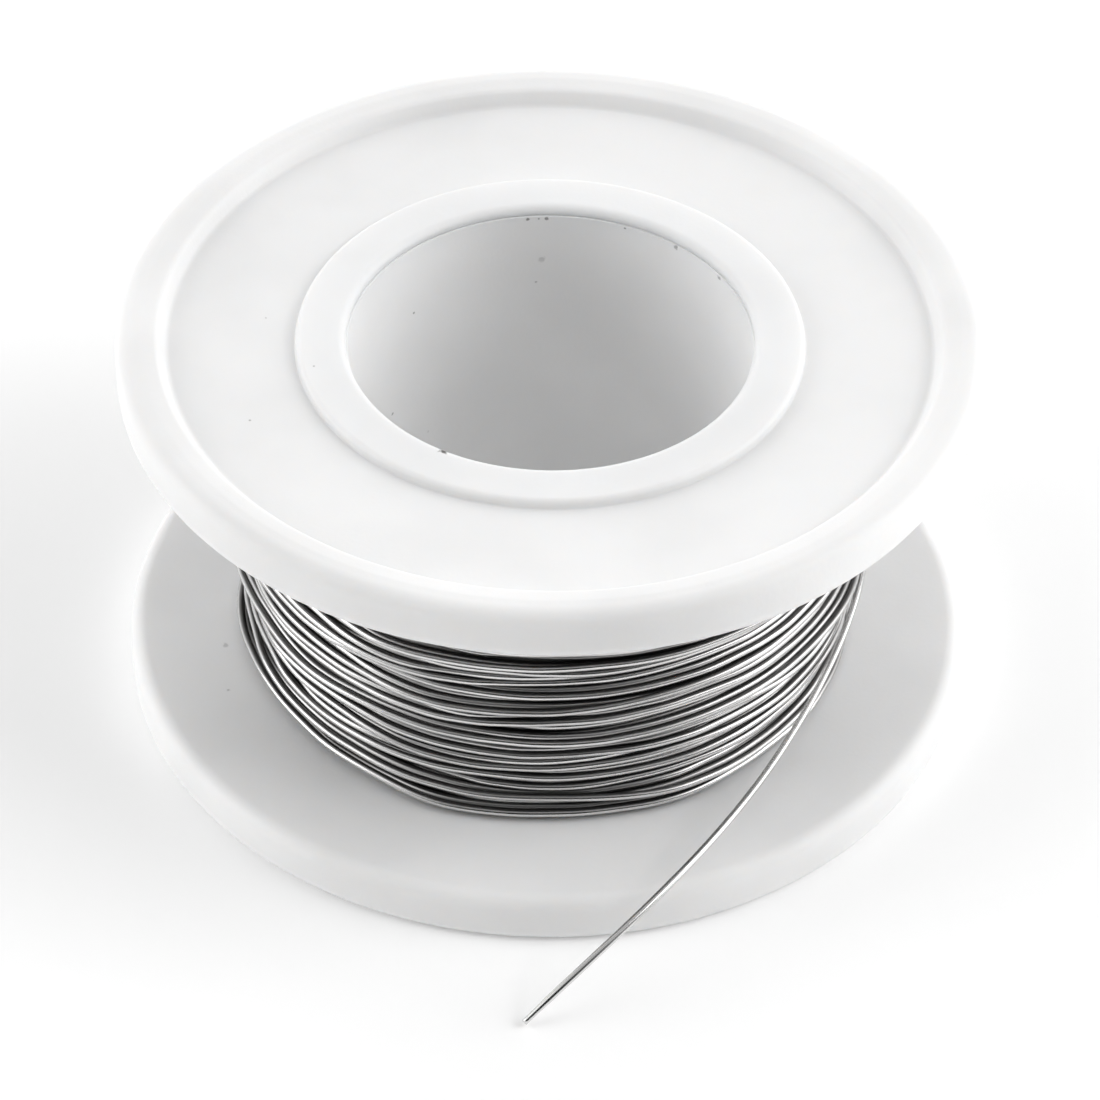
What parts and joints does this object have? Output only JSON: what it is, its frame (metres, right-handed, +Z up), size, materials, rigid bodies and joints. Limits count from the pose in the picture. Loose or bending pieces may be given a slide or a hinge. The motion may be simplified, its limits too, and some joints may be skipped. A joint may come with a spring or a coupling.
{
  "type": "solder wire spool",
  "caption": "Small white plastic spool wound with fine solder wire, its free end laid over the rim.",
  "frame": {"origin": "centre of the lower flange's rim, on the surface that the spool stands on", "axes": "+Z up along the bore axis; +X towards the side where the wire leaves the winding; the free end runs towards -Y"},
  "size_m": [0.046, 0.0521, 0.0232],
  "materials": {
    "core_plastic": "moulded white polystyrene, satin bore",
    "flange_plastic": "moulded white polystyrene, fine satin",
    "solder_wire": "drawn solder, bright with fine draw lines"
  },
  "bodies": {
    "root": {"core_tube": "core_plastic", "lower_flange": "flange_plastic", "upper_flange": "flange_plastic", "solder_winding": "solder_wire", "solder_tail": "solder_wire"}
  },
  "joints": []
}
